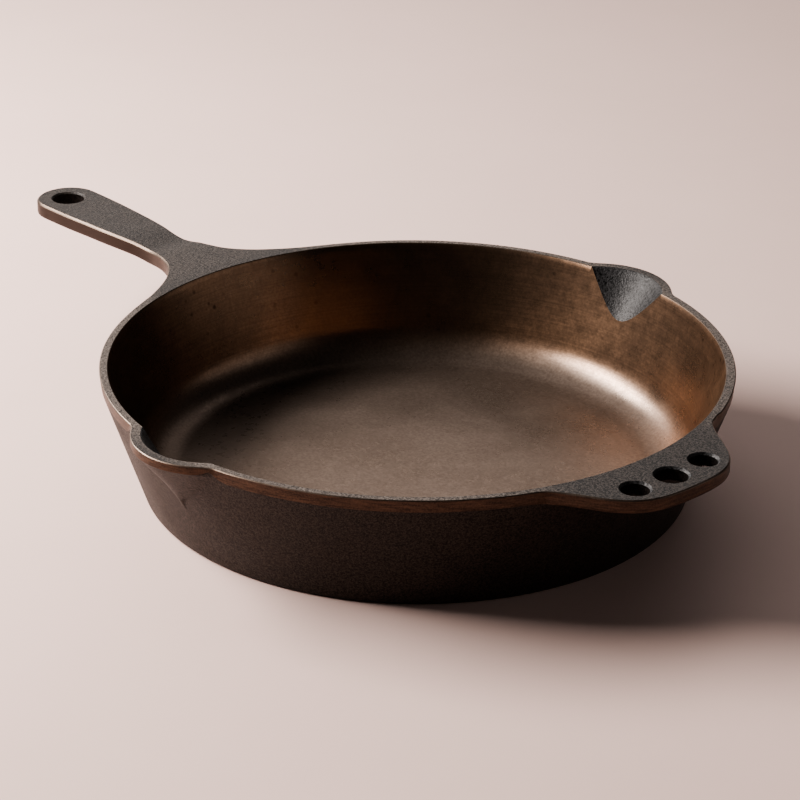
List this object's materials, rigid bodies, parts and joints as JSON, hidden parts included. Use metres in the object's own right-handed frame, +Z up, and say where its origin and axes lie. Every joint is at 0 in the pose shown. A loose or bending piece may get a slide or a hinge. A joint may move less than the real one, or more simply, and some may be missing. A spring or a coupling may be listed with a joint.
{
  "type": "cast iron skillet",
  "caption": "Round cast iron skillet with flared walls, a long flat handle with a hanging hole, a pierced helper handle opposite and pouring spouts on both sides.",
  "frame": {"origin": "centre of the flat base's underside, on the pan's axis, at the height of the surface it stands on", "axes": "+X along the long handle, -X to the helper handle, +Y and -Y to the two spouts, +Z up out of the pan"},
  "size_m": [0.4845, 0.3268, 0.0624],
  "materials": {
    "seasoned_cast_iron": "seasoned: fine sand-cast grain outside and on the rim and handles, turned and polished bronze-brown inside, edges ground to a brown band"
  },
  "bodies": {
    "root": {"skillet_casting": "seasoned_cast_iron"}
  },
  "joints": []
}
